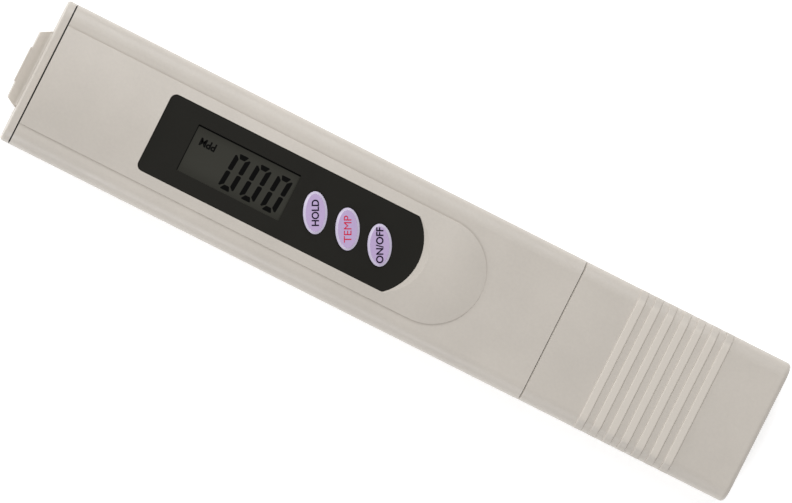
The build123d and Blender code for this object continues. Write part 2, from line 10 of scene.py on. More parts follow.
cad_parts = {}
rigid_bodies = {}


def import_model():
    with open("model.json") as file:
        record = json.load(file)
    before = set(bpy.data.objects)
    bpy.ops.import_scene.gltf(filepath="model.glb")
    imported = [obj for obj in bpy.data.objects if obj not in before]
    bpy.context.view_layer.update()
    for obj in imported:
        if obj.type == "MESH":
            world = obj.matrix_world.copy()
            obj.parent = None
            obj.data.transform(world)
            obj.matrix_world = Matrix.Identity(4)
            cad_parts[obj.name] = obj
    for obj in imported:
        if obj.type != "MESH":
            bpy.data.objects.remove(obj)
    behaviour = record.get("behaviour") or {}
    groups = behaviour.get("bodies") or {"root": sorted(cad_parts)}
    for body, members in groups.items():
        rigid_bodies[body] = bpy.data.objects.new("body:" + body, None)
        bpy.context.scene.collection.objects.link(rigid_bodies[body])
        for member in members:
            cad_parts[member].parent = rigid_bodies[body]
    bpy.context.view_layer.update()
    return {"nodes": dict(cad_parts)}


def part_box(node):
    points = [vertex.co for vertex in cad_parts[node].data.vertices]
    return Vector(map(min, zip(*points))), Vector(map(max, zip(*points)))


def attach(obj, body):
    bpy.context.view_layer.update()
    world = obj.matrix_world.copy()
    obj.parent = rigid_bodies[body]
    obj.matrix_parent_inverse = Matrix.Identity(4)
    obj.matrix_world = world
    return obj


bl_info = {
    "name": "Pen Water Tester",
    "version": (1, 0, 0),
    "blender": (4, 5, 0),
    "location": "View3D > Sidebar > Tester",
    "description": "Finishes a pen water tester: casing, display, keys, cells, board and stage",
    "category": "Object",
}

MM = 0.001
WINDOW_LENGTH = 21.6 * MM  # opening in the panel over the display
WINDOW_WIDTH = 9.6 * MM
PAINTED_HIGHLIGHT_DEPTH = 0.3 * MM  # how far down from the cap's top the ribs are painted paler, a painted highlight
PRINT_T = 0.02 * MM  # thickness of ink and display bars
PORT_RING_R = 2.9 * MM  # ticks round the calibration port
PORT_RING_SWEEP = math.radians(260)
FLOOR_REACH = 1.6  # metres to each side
LEGENDS = {  # text, ink, length in mm, share of the set weight
    "hold": ("HOLD", "dark", 5.0, 1.0),
    "temp": ("TEMP", "red", 5.1, 0.0),
    "power": ("ON/OFF", "dark", 6.8, 1.0),
}

for thing in list(bpy.data.objects):  # what a new file starts with
    bpy.data.objects.remove(thing)
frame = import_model()
NODES = frame["nodes"]


# ---- sizes and colours ---------------------------------------------------------
def colour(name, about, value):
    """A colour that a user can change."""
    return FloatVectorProperty(
        name=name, description=about, default=value, subtype="COLOR", min=0.0, max=1.0
    )


def length(name, about, millimetres):
    """A length that a user can change, given in millimetres and kept in metres."""
    return FloatProperty(
        name=name,
        description=about,
        default=millimetres * MM,
        subtype="DISTANCE",
        unit="LENGTH",
        precision=5,
    )


def angle(name, about, degrees):
    """An angle that a user can change, given in degrees."""
    return FloatProperty(
        name=name, description=about, default=math.radians(degrees), subtype="ANGLE"
    )


class CasingSettings(bpy.types.PropertyGroup):
    """Finish of the moulded casing."""

    shade: colour("Casing", "Colour of the moulded casing", (0.535, 0.49, 0.432))
    seal: colour("Seals", "Colour of the rubber seals", (0.006, 0.0055, 0.005))
    label: colour("Label", "Colour of the label on the back", (0.66, 0.65, 0.61))
    ink: colour("Label ink", "Colour of the rules on the label", (0.12, 0.12, 0.13))
    rule_gap: length("Rule gap", "Distance between the rules on the label", 2.6)
    rule_width: length("Rule width", "Thickness of a rule on the label", 0.14)
    rule_count: IntProperty(
        name="Rules", description="Number of rules on the label", default=6, min=1
    )
    tick_count: IntProperty(
        name="Ticks",
        description="Number of ticks round the calibration port",
        default=11,
        min=3,
    )


class DisplaySettings(bpy.types.PropertyGroup):
    """Black panel and liquid-crystal display."""

    panel: colour("Panel", "Colour of the black panel", (0.0145, 0.0137, 0.011))
    ground: colour("Ground", "Colour of the display ground", (0.021, 0.0205, 0.0165))
    # width of the painted shadow drawn along the window's left and top edges
    step: length("Window step", "Width of the dark step at two window edges", 0.3)
    segment: colour("Segments", "Colour of a dark segment", (0.0012, 0.0012, 0.001))
    digit_height: length("Digit height", "Height of a digit", 7.5)
    digit_width: length("Digit width", "Width of a digit", 3.2)
    digit_pitch: length("Digit pitch", "Distance from digit to digit", 4.45)
    digit_margin: length("Digit margin", "From the last digit to the window edge", 0.95)
    digit_drop: length("Digit drop", "How far the digits sit below the middle", 0.45)
    bar_width: length("Segment width", "Width of one segment", 0.96)
    bar_gap: length("Segment gap", "Gap between two segments", 0.27)
    slant: angle("Slant", "Lean of the digits", 4.6)
    mark_height: length("Mark height", "Height of the unit mark", 1.55)
    mark_width: length("Mark width", "Width of the unit mark", 3.3)
    mark_in: length("Mark in", "From the window's end to the middle of the unit mark", 3.3)
    mark_up: length("Mark up", "From the middle line to the middle of the unit mark", 2.05)
    mark_weight: FloatProperty(
        name="Mark weight", description="Boldness of the unit mark", default=0.035
    )
    mark: StringProperty(name="Unit", description="Unit shown", default="PPM")
    digits: IntProperty(name="Digits", description="Digits shown", default=3, min=1)


class KeySettings(bpy.types.PropertyGroup):
    """Oval keys and their legends."""

    top: colour("Key", "Colour of a key's top", (0.46, 0.345, 0.555))
    # paler lilac painted on a key's rim and sides as a highlight
    painted_rim_highlight: colour("Rim", "Colour of a key's bevelled rim", (0.6, 0.54, 0.68))
    dark: colour("Dark legend", "Colour of the dark legends", (0.006, 0.003, 0.016))
    red: colour("Red legend", "Colour of the red legend", (0.55, 0.012, 0.05))
    height: length("Legend height", "Height of the capitals", 1.42)
    weight: FloatProperty(name="Weight", description="Boldness of the legends", default=0.024)
    lean: angle("Lean", "How far a key's long axis leans to the battery end", 26.7)


class StageSettings(bpy.types.PropertyGroup):
    """Floor, lights and camera."""

    floor: colour("Floor", "Colour of the floor", (0.9, 0.9, 0.9))
    distance: length("Distance", "From the camera to the pen", 1500)
    lens: FloatProperty(
        name="Lens", description="Focal length of the camera", default=361.0, unit="CAMERA"
    )
    lean: angle("Camera lean", "Lean of the view to the battery end", 4.1)
    roll: angle("Roll", "Turn of the pen in the picture", 26.72)
    aim_x: length("Aim along", "Where the camera aims along the pen", 0.62)
    aim_y: length("Aim across", "Where the camera aims across the pen", 0.03)
    floor_glow: FloatProperty(name="Glow", description="How much the floor glows", default=0.45)
    key_power: FloatProperty(name="Key", description="Power of the key light", default=1.25)
    top_power: FloatProperty(name="Top", description="Power of the top light", default=0.45)
    side_power: FloatProperty(name="Sides", description="Power of the side lights", default=1.5)
    end_power: FloatProperty(name="End", description="Power of the end light", default=1.3)
    fill: FloatProperty(name="Fill", description="Strength of the surround", default=0.34)


SETTINGS = {
    "tester_casing": CasingSettings,
    "tester_display": DisplaySettings,
    "tester_keys": KeySettings,
    "tester_stage": StageSettings,
}


# ---- shader groups -----------------------------------------------------------------
class Tree:
    """A short way to add and link nodes in a node tree."""

    def __init__(self, tree):
        self.tree = tree

    def add(self, kind, inputs=None, **settings):
        """Adds a node, sets its properties, and fills or links its inputs."""
        node = self.tree.nodes.new(kind)
        for name, value in settings.items():
            setattr(node, name, value)
        for key, value in (inputs or {}).items():
            self.feed(node.inputs[key], value)
        return node

    def feed(self, socket, value):
        """Links an output to a socket, or sets the socket's own value."""
        if isinstance(value, bpy.types.NodeSocket):
            self.tree.links.new(value, socket)
        else:
            socket.default_value = value

    def maths(self, operation, *values):
        """A Math node's result."""
        node = self.add("ShaderNodeMath", operation=operation)
        for socket, value in zip(node.inputs, values):
            self.feed(socket, value)
        return node.outputs[0]

    def blend(self, factor, a, b):
        """A mix of two colours."""
        node = self.add("ShaderNodeMix", data_type="RGBA")
        self.feed(node.inputs[0], factor)
        self.feed(node.inputs[6], a)
        self.feed(node.inputs[7], b)
        return node.outputs[2]

    def span(self, value, low, high, to_low, to_high):
        """A value carried from one range to another, and clamped."""
        inputs = {0: value, 1: low, 2: high, 3: to_low, 4: to_high}
        return self.add("ShaderNodeMapRange", inputs).outputs[0]

    def noise(self, coords, scale, detail=2.0, rough=0.5):
        """A noise value at a scale in features per metre."""
        node = self.add(
            "ShaderNodeTexNoise",
            {"Vector": coords, "Scale": scale, "Detail": detail, "Roughness": rough},
        )
        return node.outputs["Fac"]


def new_group(name, kind, inputs, outputs):
    """A node group with named sockets; inputs and outputs are name, type and value."""
    group = bpy.data.node_groups.new(name, kind)
    for way, sockets in (("INPUT", inputs), ("OUTPUT", outputs)):
        for label, socket_type, *value in sockets:
            socket = group.interface.new_socket(label, in_out=way, socket_type=socket_type)
            if value:
                socket.default_value = value[0]
    tree = Tree(group)
    source = tree.add("NodeGroupInput")
    sink = tree.add("NodeGroupOutput")
    return group, tree, source, sink


def moulding_group():
    """Grain, flow tone and handling marks of a moulded part."""
    group, tree, source, sink = new_group(
        "Moulding Grain",
        "ShaderNodeTree",
        [
            ("Coords", "NodeSocketVector"),
            ("Grain Scale", "NodeSocketFloat", 5200.0),
            ("Tone Scale", "NodeSocketFloat", 60.0),
        ],
        [
            ("Tone", "NodeSocketFloat"),
            ("Smudge", "NodeSocketFloat"),
            ("Height", "NodeSocketFloat"),
        ],
    )
    coords = source.outputs["Coords"]
    flow = tree.noise(coords, source.outputs["Tone Scale"], 3.0, 0.55)
    speck = tree.noise(coords, tree.maths("MULTIPLY", source.outputs["Grain Scale"], 0.35), 2.0)
    smudge_scale = tree.maths("MULTIPLY", source.outputs["Tone Scale"], 3.0)
    smudge = tree.noise(coords, smudge_scale, 4.0, 0.62)
    grain = tree.noise(coords, source.outputs["Grain Scale"], 3.0, 0.6)
    tone = tree.maths("ADD", tree.maths("MULTIPLY", flow, 0.7), tree.maths("MULTIPLY", speck, 0.3))
    tree.feed(sink.inputs["Tone"], tone)
    tree.feed(sink.inputs["Smudge"], smudge)
    tree.feed(sink.inputs["Height"], grain)
    return group


def edge_group():
    """A mask that is 1 on a sharp outer edge and 0 on open faces."""
    group, tree, source, sink = new_group(
        "Edge Wear",
        "ShaderNodeTree",
        [
            ("Coords", "NodeSocketVector"),
            ("Radius", "NodeSocketFloat", 0.0004),
            ("Breakup", "NodeSocketFloat", 900.0),
        ],
        [("Mask", "NodeSocketFloat")],
    )
    bevel = tree.add("ShaderNodeBevel", {"Radius": source.outputs["Radius"]}, samples=6)
    plain = tree.add("ShaderNodeNewGeometry")
    turn = tree.add(
        "ShaderNodeVectorMath",
        {0: bevel.outputs[0], 1: plain.outputs["Normal"]},
        operation="DOT_PRODUCT",
    )
    edge = tree.span(turn.outputs["Value"], 0.995, 0.88, 0.0, 1.0)
    chips = tree.noise(source.outputs["Coords"], source.outputs["Breakup"], 3.0, 0.6)
    chips = tree.span(chips, 0.35, 0.65, 0.35, 1.0)
    tree.feed(sink.inputs["Mask"], tree.maths("MULTIPLY", edge, chips))
    return group


GROUPS = {}


def group_node(tree, key, inputs):
    """A shared group placed in a material, built on first use."""
    makers = {"moulding": moulding_group, "edge": edge_group}
    if key not in GROUPS:
        GROUPS[key] = makers[key]()
    node = tree.add("ShaderNodeGroup", node_tree=GROUPS[key])
    for name, value in inputs.items():
        tree.feed(node.inputs[name], value)
    return node


# ---- materials ------------------------------------------------------------------------
def rgba(shade, gain=1.0):
    """A colour with its alpha, made lighter or darker."""
    return tuple(min(1.0, c * gain) for c in shade[:3]) + (1.0,)


def start_material(name, **shader_values):
    """A material with a Principled shader, and its tree and Object coordinates."""
    material = bpy.data.materials.new(name)
    material.use_nodes = True
    tree = Tree(material.node_tree)
    shader = material.node_tree.nodes["Principled BSDF"]
    for key, value in shader_values.items():
        shader.inputs[key.replace("_", " ")].default_value = value
    coords = tree.add("ShaderNodeTexCoord").outputs["Object"]
    return material, tree, shader, coords


def moulded(
    name, shade, rough, grain=5200.0, depth=0.000004, tone=0.05, wear_and_painted_highlight=0.35, painted_highlight_level=None, **values
):
    """Moulded plastic: a fine grain, a drift of tone, polished edges painted paler as a highlight,
    and rib crests above a level painted paler as a highlight.
    """
    material, tree, shader, coords = start_material(name, **values)
    skin = group_node(tree, "moulding", {"Coords": coords, "Grain Scale": grain})
    edge = group_node(tree, "edge", {"Coords": coords})
    base = tree.blend(
        tree.span(skin.outputs["Tone"], 0.32, 0.68, 0.0, 1.0),
        rgba(shade, 1.0 - tone),
        rgba(shade, 1.0 + tone),
    )
    # Sharp edges: glossier from real wear, and painted paler as a highlight.
    edge_wear_and_highlight = tree.maths("MULTIPLY", edge.outputs["Mask"], wear_and_painted_highlight)
    # Above the given level the plastic is painted paler: a painted highlight on the crests of the
    # cap's ribs.
    if painted_highlight_level:
        level = tree.add("ShaderNodeSeparateXYZ", {0: coords}).outputs["Z"]
        high = tree.span(level, painted_highlight_level, painted_highlight_level + 0.22 * MM, 0.0, 1.0)
        base = tree.blend(high, base, rgba(shade, 1.14))
    tree.feed(shader.inputs["Base Color"], tree.blend(edge_wear_and_highlight, base, rgba(shade, 1.22)))
    gloss = tree.span(skin.outputs["Smudge"], 0.3, 0.7, rough - 0.05, rough + 0.06)
    gloss = tree.maths("SUBTRACT", gloss, tree.maths("MULTIPLY", edge_wear_and_highlight, 0.18))
    tree.feed(shader.inputs["Roughness"], gloss)
    bump = tree.add(
        "ShaderNodeBump",
        {"Strength": 0.6, "Distance": depth, "Height": skin.outputs["Height"]},
    )
    tree.feed(shader.inputs["Normal"], bump.outputs[0])
    return material


def brushed(name, shade, rough, stretch):
    """Drawn or turned metal: fine lines along the axis that stretch gives few features."""
    material, tree, shader, coords = start_material(name, Metallic=1.0)
    lines = tree.add("ShaderNodeMapping", {"Vector": coords, "Scale": stretch})
    streak = tree.noise(lines.outputs[0], 1.0, 3.0, 0.6)
    base = tree.blend(streak, rgba(shade, 0.82), rgba(shade, 1.12))
    edge = group_node(tree, "edge", {"Coords": coords, "Radius": 0.0002})
    # Sharp edges are painted paler: a painted highlight along the metal's edges.
    tree.feed(shader.inputs["Base Color"], tree.blend(edge.outputs["Mask"], base, rgba(shade, 1.25)))
    tree.feed(shader.inputs["Roughness"], tree.span(streak, 0.2, 0.8, rough - 0.07, rough + 0.09))
    bump = tree.add("ShaderNodeBump", {"Strength": 0.3, "Distance": 0.000003, "Height": streak})
    tree.feed(shader.inputs["Normal"], bump.outputs[0])
    return material


def key_material(name, settings, node):
    """Lilac key: its top one tone, its bevelled rim and sides a paler one, a painted highlight of
    the light the rim catches.
    """
    material, tree, shader, coords = start_material(name, Roughness=0.3)
    top_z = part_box(node)[1].z
    height = tree.add("ShaderNodeSeparateXYZ", {0: coords}).outputs["Z"]
    on_top = tree.span(height, top_z - 0.05 * MM, top_z - 0.02 * MM, 0.0, 1.0)
    skin = group_node(tree, "moulding", {"Coords": coords, "Grain Scale": 7000.0})
    drift = tree.span(skin.outputs["Tone"], 0.3, 0.7, 0.0, 1.0)
    top = tree.blend(drift, rgba(settings.top, 0.95), rgba(settings.top, 1.05))
    # Rim and sides: the same plastic painted paler, a painted highlight.
    painted_rim_highlight = tree.blend(drift, rgba(settings.painted_rim_highlight, 0.95), rgba(settings.painted_rim_highlight, 1.05))
    tree.feed(shader.inputs["Base Color"], tree.blend(on_top, painted_rim_highlight, top))
    tree.feed(shader.inputs["Roughness"], tree.span(skin.outputs["Smudge"], 0.3, 0.7, 0.3, 0.42))
    bump = tree.add(
        "ShaderNodeBump",
        {"Strength": 0.5, "Distance": 0.000003, "Height": skin.outputs["Height"]},
    )
    tree.feed(shader.inputs["Normal"], bump.outputs[0])
    return material


def ink_material(name, shade, rough=0.55):
    """Printed ink with a slightly uneven coat."""
    material, tree, shader, coords = start_material(name, Specular_IOR_Level=0.06)
    patch = tree.noise(coords, 9000.0, 2.0)
    tree.feed(shader.inputs["Base Color"], tree.blend(patch, rgba(shade, 0.8), rgba(shade, 1.25)))
    tree.feed(shader.inputs["Roughness"], tree.span(patch, 0.3, 0.7, rough - 0.05, rough + 0.08))
    return material


def lcd_material(shade):
    """Film over the display: a faint rubbed grain and a slow drift of tone, and a glow in its own
    colour, painted light that lifts the shade of the recessed window.
    """
    material, tree, shader, coords = start_material(
        "display_film", Specular_IOR_Level=0.1, Emission_Color=rgba(shade), Emission_Strength=0.75
    )
    drift = tree.noise(coords, 90.0, 2.0)
    rubbed = tree.add("ShaderNodeMapping", {"Vector": coords, "Scale": (1.0, 14.0, 1.0)})
    lines = tree.noise(rubbed.outputs[0], 900.0, 3.0, 0.6)
    tone = tree.maths("ADD", tree.maths("MULTIPLY", drift, 0.8), tree.maths("MULTIPLY", lines, 0.2))
    base = tree.blend(tree.span(tone, 0.3, 0.7, 0.0, 1.0), rgba(shade, 0.93), rgba(shade, 1.08))
    tree.feed(shader.inputs["Base Color"], base)
    tree.feed(shader.inputs["Roughness"], tree.span(lines, 0.3, 0.7, 0.38, 0.48))
    return material


def board_material():
    """Green solder resist with the copper runs just showing through."""
    material, tree, shader, coords = start_material("solder_resist")
    cells = tree.add(
        "ShaderNodeTexVoronoi",
        {"Vector": coords, "Scale": 420.0},
        feature="DISTANCE_TO_EDGE",
        distance="MANHATTAN",
    )
    runs = tree.span(cells.outputs["Distance"], 0.06, 0.09, 1.0, 0.0)
    base = tree.blend(runs, (0.008, 0.075, 0.03, 1.0), (0.02, 0.15, 0.06, 1.0))
    tree.feed(shader.inputs["Base Color"], base)
    weave = tree.noise(coords, 2600.0, 2.0)
    tree.feed(shader.inputs["Roughness"], tree.span(weave, 0.3, 0.7, 0.28, 0.4))
    bump = tree.add("ShaderNodeBump", {"Strength": 0.4, "Distance": 0.00002, "Height": runs})
    tree.feed(shader.inputs["Normal"], bump.outputs[0])
    return material


def zebra_material():
    """Conductive rubber in fine dark and pale layers along the strip."""
    material, tree, shader, coords = start_material("zebra_rubber", Roughness=0.7)
    stripes = tree.add(
        "ShaderNodeTexWave", {"Vector": coords, "Scale": 700.0}, bands_direction="X"
    )
    base = tree.blend(stripes.outputs["Fac"], (0.02, 0.02, 0.022, 1.0), (0.3, 0.28, 0.25, 1.0))
    tree.feed(shader.inputs["Base Color"], base)
    return material


def floor_material(shade, glow):
    """Translucent white table with a barely visible tooth, lit from below."""
    material, tree, shader, coords = start_material(
        "pale_floor", Roughness=0.85, Emission_Color=rgba(shade), Emission_Strength=glow
    )
    tooth = tree.noise(coords, 1800.0, 3.0)
    tree.feed(shader.inputs["Base Color"], tree.blend(tooth, rgba(shade, 0.985), rgba(shade, 1.01)))
    return material


def finish_nodes(material, *names):
    """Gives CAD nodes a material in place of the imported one."""
    for name in names:
        mesh = NODES[name].data
        mesh.materials.clear()
        mesh.materials.append(material)
        mesh.polygons.foreach_set("material_index", [0] * len(mesh.polygons))


# ---- meshes --------------------------------------------------------------------------------
def new_piece(name, mesh, material, body):
    """A finished piece: its mesh in place, its material, and the body it rides on."""
    mesh.name = name
    piece = bpy.data.objects.new(name, mesh)
    bpy.context.scene.collection.objects.link(piece)
    if material:
        mesh.materials.clear()
        mesh.materials.append(material)
    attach(piece, body)
    return piece


def prism(outlines, z0, z1):
    """A mesh of upright prisms, one for each outline of x, y points."""
    mesh = bpy.data.meshes.new("prism")
    work = bmesh.new()
    for outline in outlines:
        low = [work.verts.new((x, y, z0)) for x, y in outline]
        high = [work.verts.new((x, y, z1)) for x, y in outline]
        work.faces.new(list(reversed(low)))
        work.faces.new(high)
        for i in range(len(outline)):
            j = (i + 1) % len(outline)
            work.faces.new((low[i], low[j], high[j], high[i]))
    bmesh.ops.recalc_face_normals(work, faces=work.faces)
    work.to_mesh(mesh)
    work.free()
    return mesh


def rectangle(x0, x1, y0, y1):
    return [(x0, y0), (x1, y0), (x1, y1), (x0, y1)]


def words(text, height, width, place, weight=0.0, thickness=PRINT_T):
    """Lettering as a closed mesh, sized to height and width and put where place says."""
    curve = bpy.data.curves.new("words", "FONT")
    curve.body = text
    curve.offset = weight
    curve.extrude = thickness / 2
    curve.resolution_u = 6
    holder = bpy.data.objects.new("words", curve)
    bpy.context.scene.collection.objects.link(holder)
    bpy.context.view_layer.update()
    graph = bpy.context.evaluated_depsgraph_get()
    mesh = bpy.data.meshes.new_from_object(holder.evaluated_get(graph))
    bpy.data.objects.remove(holder)
    xs = [v.co.x for v in mesh.vertices]
    ys = [v.co.y for v in mesh.vertices]
    middle = Vector(((min(xs) + max(xs)) / 2, (min(ys) + max(ys)) / 2, 0))
    wide = width / (max(xs) - min(xs))
    tall = height / (max(ys) - min(ys))
    size = Matrix.Diagonal((wide, tall, 1.0, 1.0))
    mesh.transform(place @ size @ Matrix.Translation(-middle))
    work = bmesh.new()
    work.from_mesh(mesh)
    bmesh.ops.remove_doubles(work, verts=work.verts, dist=1e-7)
    bmesh.ops.recalc_face_normals(work, faces=work.faces)
    work.to_mesh(mesh)
    work.free()
    return mesh


# ---- geometry node trees -----------------------------------------------------------------------
def row_tree():
    """Copies of a shape in a straight row, sheared to a slant, as one mesh."""
    group, tree, source, sink = new_group(
        "Row of Copies",
        "GeometryNodeTree",
        [
            ("Geometry", "NodeSocketGeometry"),
            ("Count", "NodeSocketInt", 3),
            ("Step", "NodeSocketVector"),
            ("Slant", "NodeSocketFloat", 0.0),
            ("Material", "NodeSocketMaterial"),
        ],
        [("Geometry", "NodeSocketGeometry")],
    )
    line = tree.add(
        "GeometryNodeMeshLine",
        {"Count": source.outputs["Count"], "Offset": source.outputs["Step"]},
    )
    copies = tree.add(
        "GeometryNodeInstanceOnPoints",
        {"Points": line.outputs[0], "Instance": source.outputs["Geometry"]},
    )
    real = tree.add("GeometryNodeRealizeInstances", {0: copies.outputs[0]})
    place = tree.add("ShaderNodeSeparateXYZ", {0: tree.add("GeometryNodeInputPosition").outputs[0]})
    lean = tree.maths("MULTIPLY", place.outputs["Y"], source.outputs["Slant"])
    shift = tree.add("ShaderNodeCombineXYZ", {"X": lean})
    moved = tree.add(
        "GeometryNodeSetPosition", {"Geometry": real.outputs[0], "Offset": shift.outputs[0]}
    )
    painted = tree.add(
        "GeometryNodeSetMaterial",
        {"Geometry": moved.outputs[0], "Material": source.outputs["Material"]},
    )
    tree.feed(sink.inputs["Geometry"], painted.outputs[0])
    return group


def ring_tree():
    """Copies of a shape round a circle, each turned to face outwards, as one mesh."""
    group, tree, source, sink = new_group(
        "Ring of Copies",
        "GeometryNodeTree",
        [
            ("Geometry", "NodeSocketGeometry"),
            ("Count", "NodeSocketInt", 12),
            ("Radius", "NodeSocketFloat", 0.003),
            ("Start", "NodeSocketFloat", 0.0),
            ("Sweep", "NodeSocketFloat", math.tau),
            ("Material", "NodeSocketMaterial"),
        ],
        [("Geometry", "NodeSocketGeometry")],
    )
    line = tree.add("GeometryNodeMeshLine", {"Count": source.outputs["Count"]})
    index = tree.add("GeometryNodeInputIndex").outputs[0]
    last = tree.maths("SUBTRACT", source.outputs["Count"], 1.0)
    share = tree.maths("DIVIDE", index, last)
    swept = tree.maths("MULTIPLY", share, source.outputs["Sweep"])
    turn = tree.maths("ADD", swept, source.outputs["Start"])
    x = tree.maths("MULTIPLY", tree.maths("COSINE", turn), source.outputs["Radius"])
    y = tree.maths("MULTIPLY", tree.maths("SINE", turn), source.outputs["Radius"])
    spot = tree.add("ShaderNodeCombineXYZ", {"X": x, "Y": y})
    ring = tree.add(
        "GeometryNodeSetPosition", {"Geometry": line.outputs[0], "Position": spot.outputs[0]}
    )
    facing = tree.add("ShaderNodeCombineXYZ", {"Z": turn})
    copies = tree.add(
        "GeometryNodeInstanceOnPoints",
        {
            "Points": ring.outputs[0],
            "Instance": source.outputs["Geometry"],
            "Rotation": facing.outputs[0],
        },
    )
    real = tree.add("GeometryNodeRealizeInstances", {0: copies.outputs[0]})
    painted = tree.add(
        "GeometryNodeSetMaterial",
        {"Geometry": real.outputs[0], "Material": source.outputs["Material"]},
    )
    tree.feed(sink.inputs["Geometry"], painted.outputs[0])
    return group


def repeated(mesh, key, values, place=Vector()):
    """The mesh that a tree makes from one shape, moved to its place."""
    makers = {"row": row_tree, "ring": ring_tree}
    if key not in GROUPS:
        GROUPS[key] = makers[key]()
    group = GROUPS[key]
    holder = bpy.data.objects.new("repeat", mesh)
    bpy.context.scene.collection.objects.link(holder)
    modifier = holder.modifiers.new("repeat", "NODES")
    modifier.node_group = group
    sockets = {s.name: s.identifier for s in group.interface.items_tree if s.in_out == "INPUT"}
    for name, value in values.items():
        modifier[sockets[name]] = value
    bpy.context.view_layer.update()
    graph = bpy.context.evaluated_depsgraph_get()
    made = bpy.data.meshes.new_from_object(holder.evaluated_get(graph))
    bpy.data.objects.remove(holder)
    made.transform(Matrix.Translation(place))
    return made


# ---- pieces ----------------------------------------------------------------------------------
def middle_of(node):
    """Middle of a CAD node's box."""
    low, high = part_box(node)
    return (low + high) / 2


def make_casing(settings):
    """Shells, caps and clip in one moulded finish, and black seals."""
    shell = moulded("casing_plastic", settings.shade, 0.42)
    finish_nodes(shell, "front_shell", "rear_shell", "battery_cap", "pocket_clip")
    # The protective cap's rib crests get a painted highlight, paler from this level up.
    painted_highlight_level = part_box("protective_cap")[1].z - PAINTED_HIGHLIGHT_DEPTH
    finish_nodes(moulded("cap_plastic", settings.shade, 0.42, painted_highlight_level=painted_highlight_level), "protective_cap")
    rubber = moulded("seal_rubber", settings.seal, 0.75, depth=0.000006)
    finish_nodes(rubber, "battery_cap_seal", "probe_gasket")
    finish_nodes(moulded("label_film", settings.label, 0.5), "rear_label")


def make_label_rules(settings):
    """Blank rules on the back label, for notes."""
    ink = ink_material("label_ink", settings.ink)
    low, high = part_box("rear_label")
    face = low.z
    inset = 3.0 * MM
    rule = prism(
        [rectangle(low.x + inset, high.x - inset, 0, settings.rule_width)],
        face - PRINT_T,
        face + PRINT_T,
    )
    span = settings.rule_gap * (settings.rule_count - 1)
    rules = repeated(
        rule,
        "row",
        {"Count": settings.rule_count, "Step": (0, settings.rule_gap, 0), "Material": ink},
        Vector((0, -span / 2, 0)),
    )
    new_piece("label_rules", rules, None, "housing")


def zero_outlines(settings):
    """The six lit bars of a nought, as outlines round the middle of the digit."""
    w, h = settings.digit_width / 2, settings.digit_height / 2
    t, gap = settings.bar_width, settings.bar_gap / 2
    corner = t * 0.55
    bars = []
    for up in (1, -1):
        flat = [
            (-w + corner + gap, up * (h - t * 0.12)),
            (-w + corner + gap + t * 0.2, up * h),
            (w - corner - gap - t * 0.2, up * h),
            (w - corner - gap, up * (h - t * 0.12)),
            (w - t - gap * 0.4, up * (h - t * 0.85)),
            (w - t - gap * 1.2, up * (h - t)),
            (-w + t + gap * 1.2, up * (h - t)),
            (-w + t + gap * 0.4, up * (h - t * 0.85)),
        ]
        bars.append(flat)
        for side in (1, -1):
            post = [
                (side * (w - t), up * (gap + t * 0.18)),
                (side * (w - t * 0.75), up * gap),
                (side * (w - t * 0.25), up * gap),
                (side * w, up * (gap + t * 0.2)),
                (side * w, up * (h - t * 0.62)),
                (side * (w - t * 0.3), up * (h - t * 0.5)),
                (side * (w - t), up * (h - t * 1.12)),
            ]
            bars.append(post)
    return bars


def make_display(settings):
    """Black panel, display film, the digits, the unit mark and a painted shadow along two edges of
    the window.
    """
    panel = moulded(
        "panel_gloss",
        settings.panel,
        0.34,
        grain=9000.0,
        depth=0.000002,
        tone=0.06,
        wear_and_painted_highlight=0.2,
        Specular_IOR_Level=0.09,
    )
    finish_nodes(panel, "display_panel")
    finish_nodes(lcd_material(settings.ground), "lcd_cell")
    finish_nodes(moulded("tape_film", (0.5, 0.5, 0.47), 0.6), "panel_tape")
    finish_nodes(zebra_material(), "zebra_strips")
    dark = ink_material("display_segments", settings.segment)
    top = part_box("lcd_cell")[1].z
    z0, z1 = top - 0.005 * MM, top + 0.015 * MM
    cell = middle_of("lcd_cell")
    window_right = cell.x + WINDOW_LENGTH / 2
    last_x = window_right - settings.digit_margin - settings.digit_width / 2
    first_x = last_x - settings.digit_pitch * (settings.digits - 1)
    digits = repeated(
        prism(zero_outlines(settings), z0, z1),
        "row",
        {
            "Count": settings.digits,
            "Step": (settings.digit_pitch, 0, 0),
            "Slant": math.tan(settings.slant),
            "Material": dark,
        },
        Vector((first_x, cell.y - settings.digit_drop, 0)),
    )
    new_piece("display_digits", digits, None, "housing")
    window_left = cell.x - WINDOW_LENGTH / 2
    window_top = cell.y + WINDOW_WIDTH / 2
    # Dark strips at the window's left and top edges: a painted shadow cast by the panel's edges onto
    # the display, drawn in the segment ink.
    step = settings.step
    edges = [
        rectangle(window_left, window_left + step * 0.7, window_top - WINDOW_WIDTH, window_top),
        rectangle(window_left + step * 0.7, window_right, window_top - step, window_top),
    ]
    new_piece("display_window_step", prism(edges, z0, z1), dark, "housing")
    spot = Vector((window_left + settings.mark_in, cell.y + settings.mark_up, (z0 + z1) / 2))
    upside_down = Matrix.Translation(spot) @ Matrix.Rotation(math.pi, 4, "Z")
    mark = words(
        settings.mark, settings.mark_height, settings.mark_width, upside_down, settings.mark_weight
    )
    new_piece("display_unit_mark", mark, dark, "housing")


def make_keys(settings):
    """Lilac keys and the legend printed along each one."""
    inks = {
        "dark": ink_material("legend_dark", settings.dark),
        "red": ink_material("legend_red", settings.red),
    }
    stem = moulded("stem_plastic", (0.03, 0.03, 0.032), 0.5)
    for key, (text, ink, width, weight) in LEGENDS.items():
        node = f"{key}_button"
        finish_nodes(key_material(f"{key}_key_plastic", settings, node), node)
        finish_nodes(stem, f"{key}_stem")
        spot = middle_of(node)
        spot.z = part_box(node)[1].z + 0.004 * MM
        along = Matrix.Rotation(math.radians(90) + settings.lean, 4, "Z")
        place = Matrix.Translation(spot) @ along
        mesh = words(text, settings.height, width * MM, place, settings.weight * weight)
        new_piece(f"{key}_legend", mesh, inks[ink], f"{key}_key")


